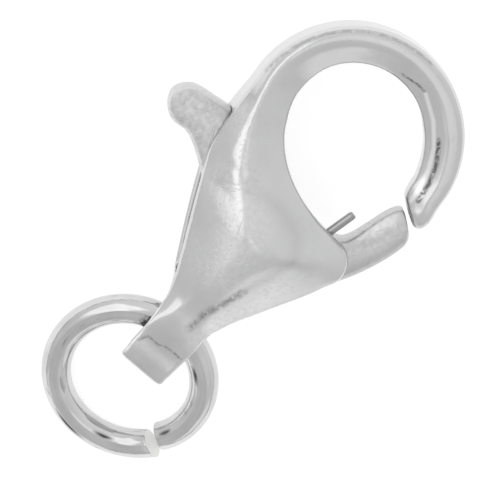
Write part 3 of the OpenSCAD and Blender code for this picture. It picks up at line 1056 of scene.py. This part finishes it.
class Shading(Nodes):
    """Short ways to make a surface's material."""

    def __init__(self, name):
        self.mat = bpy.data.materials.new(name)
        self.mat.use_nodes = True
        super().__init__(self.mat.node_tree)
        self.shader = self.nodes["Principled BSDF"]
        self.coords = self.node("TexCoord", {}, "Object")

    def mapping(self, scale, turn=0, tilt=0):
        """Object coordinates turned in plan, with the scale in repeats per millimetre."""
        turns = [math.radians(a) for a in (0, tilt, turn)]
        inputs = {"Vector": self.coords, "Rotation": turns, "Scale": [MM / k for k in scale]}
        return self.node("Mapping", inputs, vector_type="TEXTURE")

    def noise(self, vector, detail, twist=0.0):
        inputs = {"Vector": vector, "Scale": 1, "Detail": detail, "Distortion": twist}
        return self.node("TexNoise", inputs)

    def attribute(self, name):
        return self.node("Attribute", {}, "Fac", attribute_name=name)

    def bump(self, height, depth, below=None):
        inputs = {"Strength": 1, "Distance": depth * MM, "Height": height}
        if below:
            inputs["Normal"] = below
        return self.node("Bump", inputs)

    def scratches(self, turn, length, fineness, least):
        """Thin lines this long and this many to the millimetre, all one way."""
        lines = self.noise(self.mapping((1 / length, fineness, fineness), turn), 2)
        return self.span(lines, least, least + 0.04)

    def finish(self, shade, hue, roughness, normal, metallic=1.0):
        """The surface: the hue made as light as this shade, its polish and its relief."""
        parts = {i: self.times(shade, part / max(hue)) for i, part in enumerate(hue)}
        inputs = self.shader.inputs
        self.links.new(self.node("CombineColor", parts), inputs["Base Color"])
        self.links.new(roughness, inputs["Roughness"])
        self.links.new(normal, inputs["Normal"])
        inputs["Metallic"].default_value = metallic
        return self.mat


def silver_material(name, hue, rough, scuffed, mottle):
    """Polished cast silver with clouding, scratches, scuffs painted lighter as a highlight, painted
    highlight lines along edges, painted shade in hollows, and creases darkened with painted shade.
    """
    s, tone = Shading(name), max(hue)
    cloud = s.noise(s.mapping((0.9, 0.9, 0.9)), 5, 0.4)
    grain = s.noise(s.mapping((7, 7, 7)), 3)
    patch = s.span(s.noise(s.mapping((0.6, 0.6, 0.6), 40), 3), 0.42, 0.6)
    # The marked scuffs, which are also painted lighter as a highlight below
    worn = s.attribute("scuff")
    scuff = s.add(s.times(patch, scuffed), worn)
    fine = s.most(s.scratches(25, 0.7, 14, 0.64), s.scratches(118, 0.5, 15, 0.64))
    long = s.most(s.scratches(-35, 1.6, 9, 0.68), s.scratches(70, 1, 12, 0.68))
    scratch = s.times(s.most(fine, long), scuff)
    broken = s.span(s.noise(s.mapping((6, 6, 6), 15), 5, 1), 0.33, 0.55)
    crease = s.times(s.span(s.attribute("crease"), 0.1, 0.7), broken)
    painted_highlight = s.span(s.attribute("bright_line"), 0.1, 0.7)
    shade = s.span(cloud, 0.3, 0.7, tone * 0.97, tone * 1.03)
    # Painted highlight: the marked scuffs are made lighter
    shade = s.add(shade, s.times(worn, 0.1))
    shade = s.add(shade, s.times(scuff, s.span(grain, 0.35, 0.65, -mottle, mottle)))
    shade = s.combine("SUBTRACT", shade, s.times(scratch, 0.045))
    # Painted highlight lines along edges
    shade = s.add(shade, s.times(painted_highlight, 0.25))
    # Painted shade in the hollows and over a softbox's reflection
    shade = s.times(shade, s.span(s.attribute("hollow"), 0, 1, 1, 0.86, ease="SMOOTHSTEP"))
    # Painted shade and dark reflection along the creases
    shade = s.times(shade, s.span(crease, 0, 1, 1, 0.25))
    matt = s.span(cloud, 0.3, 0.7, rough * 0.8, rough * 1.25)
    for wear, rougher in ((scuff, 0.05), (scratch, 0.1), (crease, 0.2)):
        matt = s.add(matt, s.times(wear, rougher))
    normal = s.bump(cloud, 0.01)
    normal = s.bump(s.times(grain, scuff), 0.004, normal)
    normal = s.bump(s.add(scratch, crease), -0.003, normal)
    return s.finish(shade, hue, matt, normal)


def wire_material(name, hue, rough, streak, flat_painted_shade):
    """Drawn wire: lines along it, flats painted a little darker than its round sides as shade, a
    painted highlight along their rims, gouges.
    """
    s, tone = Shading(name), max(hue)
    along, around = s.attribute("along"), s.attribute("around")
    fine = s.node("CombineXYZ", {"X": s.times(along, 0.5), "Y": s.times(around, 7)})
    wide = s.node("CombineXYZ", {"X": s.times(along, 0.9), "Y": s.times(around, 3.5)})
    lines, pits = s.noise(fine, 4), s.noise(wide, 2, 0.3)
    gouge = s.most(s.times(s.span(pits, 0.66, 0.72), 0.4), s.attribute("gouge"))
    cloud = s.noise(s.mapping((1.2, 1.2, 1.2)), 5)
    shade = s.span(lines, 0.3, 0.7, tone * (1 - streak), tone * (1 + streak))
    shade = s.times(shade, s.span(cloud, 0.3, 0.7, 0.93, 1.07))
    # Painted shade: the flats, which face upwards, are made darker
    shade = s.times(shade, s.span(s.attribute("flat"), 0, 1, 1, flat_painted_shade))
    # Painted highlight along the rims of the flats
    shade = s.add(shade, s.times(s.span(s.attribute("rim"), 0.2, 0.8), 0.2))
    shade = s.times(shade, s.span(gouge, 0, 1, 1, 0.12))
    matt = s.add(s.span(lines, 0.3, 0.7, rough * 0.7, rough * 1.4), s.times(gouge, 0.2))
    return s.finish(shade, hue, matt, s.bump(gouge, -0.01, s.bump(lines, 0.006)))


def cut_end_material():
    """Sheared wire end: pale and rough, with lines across it."""
    s = Shading("sheared_end")
    lines = s.noise(s.mapping((3, 22, 3), 30, 20), 3)
    shade, matt = s.span(lines, 0.3, 0.7, 0.92, 1), s.span(lines, 0.3, 0.7, 0.4, 0.6)
    return s.finish(shade, (1, 1, 0.99), matt, s.bump(lines, 0.001), metallic=0.0)


def dress(obj, mat, slot, body, *nodes):
    obj.data.materials.clear()
    obj.data.materials.append(mat)
    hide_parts(*nodes)
    if body:
        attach(obj, body)


# The stage

# The photograph's camera: its picture, its directions, and where the picture's middle lies
# to the right of and above the hook's middle, in millimetres
PIXELS = 500
PIXELS_PER_MM = 36.0
CAMERA_RIGHT = Vector((0.663, -0.747, 0.057))
CAMERA_UP = Vector((0.738, 0.638, -0.220))
CAMERA_AIM = (-2.736, -3.2)
LENS = 400
SENSOR = 36
# Softboxes: direction from the clasp, distance, width and height in metres, glow
SOFTBOXES = [
    ("strip_softbox", (-0.054, 0.613, 0.788), 0.3, (0.24, 0.22), 0.52),
    ("top_softbox", (-0.04, -0.15, 0.985), 0.35, (0.13, 0.15), 0.22),
    ("side_softbox", (-0.42, 0.34, 0.84), 0.3, (0.16, 0.14), 0.12),
    ("low_softbox", (-0.6, -0.75, 0.25), 0.3, (0.34, 0.1), 0.33),
    ("end_softbox", (-0.97, -0.1, 0.2), 0.3, (0.26, 0.1), 0.22),
]
# The tent is a little brighter on this side
BRIGHT_SIDE = (0.95, 0.3, 0)
# Height above the horizon where the tent starts, and the light in the gap below it
GAP_BAND = (0.01, 0.06)
GAP_LEVEL = 0.3
# The floor's width and height, in metres: just below the clasp
FLOOR_SIZE, FLOOR_Z = 0.6, -0.00001


def make_floor(look):
    start_clean()
    bpy.ops.mesh.primitive_plane_add(size=FLOOR_SIZE, location=(0, 0, FLOOR_Z))
    floor = named("studio_floor")
    mat = bpy.data.materials.new("pale_floor")
    mat.use_nodes = True
    inputs = mat.node_tree.nodes["Principled BSDF"].inputs
    inputs["Base Color"].default_value = (*look.floor, 1)
    inputs["Roughness"].default_value = 0.9
    inputs["Emission Color"].default_value = (1, 1, 1, 1)
    inputs["Emission Strength"].default_value = look.floor_glow
    floor.data.materials.append(mat)


def make_tent(look):
    """White all round, brighter on one side, with a darker gap along the horizon."""
    tent = bpy.data.worlds.new("soft_surroundings")
    bpy.context.scene.world = tent
    tent.use_nodes = True
    s = Nodes(tent.node_tree)
    back = s.nodes["Background"]
    back.inputs["Color"].default_value = (1, 1, 1, 1)
    way = s.node("TexCoord", {}, "Generated")
    side = s.node("VectorMath", {0: way, 1: BRIGHT_SIDE}, "Value", operation="DOT_PRODUCT")
    level = s.span(side, -1, 1, look.tent_low, look.tent_high)
    height = s.node("SeparateXYZ", {0: way}, "Z")
    gap = s.span(height, *GAP_BAND, GAP_LEVEL, 1, ease="SMOOTHSTEP")
    s.links.new(s.times(level, gap), back.inputs["Strength"])


def make_camera():
    right = CAMERA_RIGHT.normalized()
    back = right.cross(CAMERA_UP).normalized()
    up = back.cross(right)
    aim = world(0, 0, 0) + (right * CAMERA_AIM[0] + up * CAMERA_AIM[1]) * MM
    width = PIXELS / PIXELS_PER_MM * MM
    bpy.ops.object.camera_add(location=aim + back * (width * LENS / SENSOR))
    camera = named("photo_camera")
    camera.rotation_euler = Matrix((right, up, back)).transposed().to_euler()
    camera.data.lens = LENS
    camera.data.sensor_width = SENSOR
    camera.data.clip_start, camera.data.clip_end = 0.01, 5
    bpy.context.scene.camera = camera


def make_stage(look):
    """Pale floor, light tent, softboxes, and a camera at the photograph's angle."""
    bpy.context.scene.view_settings.view_transform = "Standard"
    make_floor(look)
    make_tent(look)
    make_camera()
    for name, way, away, size, glow in SOFTBOXES:
        place = Vector(way).normalized() * away
        bpy.ops.object.light_add(type="AREA", location=place)
        lamp = named(name)
        lamp.data.shape = "RECTANGLE"
        lamp.data.size, lamp.data.size_y = size
        lamp.data.energy = look.softboxes * glow * math.pi * size[0] * size[1]
        lamp.rotation_euler = (-place).to_track_quat("-Z", "Y").to_euler()


# The add-on


def distance(name, description, millimetres, least=0.001):
    return FloatProperty(
        name=name, description=description, default=millimetres * MM, min=least * MM,
        subtype="DISTANCE", unit="LENGTH", precision=5,
    )


def metal(name, description, hue):
    return FloatVectorProperty(
        name=name, description=description, default=hue, size=3, subtype="COLOR", min=0, max=1
    )


def amount(name, description, value, most=1.0):
    return FloatProperty(
        name=name, description=description, default=value, min=0, max=most, subtype="FACTOR"
    )


class ClaspSizes(PropertyGroup):
    """Sizes of the clasp's small parts, and how fine its castings are made."""

    claw_grain: distance("Claw grain", "Spacing of the points over the claw's skin", 0.048, 0.02)
    lever_grain: distance("Lever grain", "Spacing of the points over the lever's skin", 0.03, 0.02)
    pin_diameter: distance("Pin diameter", "Across the pivot pin", PIN_D)
    pin_length: distance("Pin length", "From end to end of the pivot pin", PIN_L)
    pin_edge: distance("Pin edge", "Width of the rounding at the pin's ends", 0.04)
    spring_wire: distance("Spring wire", "Thickness of the spring's wire", WIRE_D)
    ring_diameter: distance("Ring diameter", "Across the jump ring, outside", RING_D)
    ring_wire: distance("Ring wire", "Thickness of the jump ring's wire", RING_WIRE)
    ring_cut: distance("Ring cut", "Gap between the ring's two ends", 0.05)
    ring_offset: distance("Ring offset", "How far each end stands out of line", 0.17)
    ring_slant: distance("Ring slant", "How far one end's upper edge is cut back", 0.07)
    ring_skew: distance("Ring skew", "How far that end's inner edge is cut back", 0.16)
    ring_flat: FloatProperty(
        name="Ring flat", description="Half angle of the flats along the ring's wire",
        default=math.radians(18), min=0, max=math.radians(40), subtype="ANGLE", unit="ROTATION",
    )


class ClaspFinish(PropertyGroup):
    """Colours and polish of the clasp's metals."""

    silver: metal("Silver", "Colour of the cast silver", (0.62, 0.62, 0.626))
    silver_roughness: amount("Silver roughness", "Polish of the claw and the pin", 0.19)
    worn: metal("Worn silver", "Colour of the handled silver of the lever", (0.54, 0.54, 0.545))
    worn_roughness: amount("Worn roughness", "Polish of the lever", 0.26)
    wire: metal("Ring wire", "Colour of the drawn silver wire", (0.62, 0.62, 0.625))
    wire_roughness: amount("Ring roughness", "Polish of the jump ring", 0.12)
    steel: metal("Spring steel", "Colour of the spring", (0.36, 0.36, 0.362))
    steel_roughness: amount("Steel roughness", "Polish of the spring", 0.2)


class ClaspStudio(PropertyGroup):
    """Floor and light of the stage."""

    floor: metal("Floor", "Colour of the floor", (0.55, 0.55, 0.55))
    floor_glow: amount("Floor glow", "Light that the floor gives of itself", 0.66, 5)
    tent_low: amount("Tent, darker side", "Light from the tent's darker side", 0.69, 5)
    tent_high: amount("Tent, brighter side", "Light from the tent's brighter side", 0.97, 5)
    softboxes: amount("Softboxes", "Share of the softboxes' full light", 1, 5)


class CLASP_OT_stage(Operator):
    """Sets up the pale floor, the light tent, the softboxes and the camera"""

    bl_idname = "clasp.stage"
    bl_label = "Stage"

    def execute(self, context):
        make_stage(context.scene.clasp_studio)
        return {"FINISHED"}


class CLASP_OT_claw(Operator):
    """Models the cast claw with its slot, eye and pin bore"""

    bl_idname = "clasp.claw"
    bl_label = "Claw"

    def execute(self, context):
        claw, look = make_claw(context.scene.clasp_sizes), context.scene.clasp_finish
        finish = look.silver, look.silver_roughness
        silver = silver_material("cast_silver", *finish, scuffed=0.2, mottle=0.03)
        dress(claw, silver, SILVER_SLOT, "clasp", "claw")
        return {"FINISHED"}


class CLASP_OT_pin(Operator):
    """Models the riveted pivot pin"""

    bl_idname = "clasp.pin"
    bl_label = "Pivot pin"

    def execute(self, context):
        pin, look = make_pin(context.scene.clasp_sizes), context.scene.clasp_finish
        finish = look.silver, look.silver_roughness
        silver = silver_material("pin_silver", *finish, scuffed=0.4, mottle=0.03)
        dress(pin, silver, SILVER_SLOT, "clasp", "pivot_pin")
        return {"FINISHED"}


class CLASP_OT_lever(Operator):
    """Models the lever with its thumb tab and gate"""

    bl_idname = "clasp.lever"
    bl_label = "Lever and gate"

    def execute(self, context):
        lever, look = make_lever(context.scene.clasp_sizes), context.scene.clasp_finish
        finish = look.worn, look.worn_roughness
        worn = silver_material("worn_silver", *finish, scuffed=0.55, mottle=0.06)
        dress(lever, worn, SILVER_SLOT, "gate_lever", "lever")
        return {"FINISHED"}


class CLASP_OT_spring(Operator):
    """Winds the torsion spring from the claw to the lever"""

    bl_idname = "clasp.spring"
    bl_label = "Torsion spring"

    def execute(self, context):
        spring, look = make_spring(context.scene.clasp_sizes), context.scene.clasp_finish
        finish = look.steel, look.steel_roughness
        steel = wire_material("spring_wire", *finish, streak=0.25, flat_painted_shade=1)
        dress(spring, steel, STEEL_SLOT, None, "spring")
        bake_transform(spring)
        return {"FINISHED"}


class CLASP_OT_ring(Operator):
    """Bends the jump ring through the claw's eye"""

    bl_idname = "clasp.ring"
    bl_label = "Jump ring"

    def execute(self, context):
        ring, look = make_ring(context.scene.clasp_sizes), context.scene.clasp_finish
        finish = look.wire, look.wire_roughness
        wire = wire_material("drawn_silver_wire", *finish, streak=0.06, flat_painted_shade=0.92)
        dress(ring, wire, SILVER_SLOT, "ring", "jump_ring")
        ring.data.materials.append(cut_end_material())
        for face in ring.data.polygons:
            if len(face.vertices) > RING_SIDES / 3:
                face.material_index = 1
        return {"FINISHED"}


class CLASP_PT_maker(Panel):
    """Sizes, finish and makers of the clasp"""

    bl_idname = "CLASP_PT_maker"
    bl_label = "Lobster clasp"
    bl_space_type = "VIEW_3D"
    bl_region_type = "UI"
    bl_category = "Clasp"

    def draw(self, context):
        layout = self.layout
        for name in GROUPS:
            group = getattr(context.scene, name)
            box = layout.box()
            for key in type(group).__annotations__:
                box.prop(group, key)
        for operator in MAKERS:
            layout.operator(operator.bl_idname)


MAKERS = (CLASP_OT_stage, CLASP_OT_claw, CLASP_OT_pin, CLASP_OT_lever, CLASP_OT_spring, CLASP_OT_ring)
GROUPS = {"clasp_sizes": ClaspSizes, "clasp_finish": ClaspFinish, "clasp_studio": ClaspStudio}
CLASSES = (*GROUPS.values(), *MAKERS, CLASP_PT_maker)


def register():
    for cls in CLASSES:
        bpy.utils.register_class(cls)
    for name, group in GROUPS.items():
        setattr(bpy.types.Scene, name, PointerProperty(type=group))


def unregister():
    for name in GROUPS:
        delattr(bpy.types.Scene, name)
    for cls in reversed(CLASSES):
        bpy.utils.unregister_class(cls)


def main():
    register()
    bpy.ops.clasp.stage()
    bpy.ops.clasp.claw()
    bpy.ops.clasp.pin()
    bpy.ops.clasp.lever()
    bpy.ops.clasp.spring()
    bpy.ops.clasp.ring()


if __name__ == "__main__":
    main()
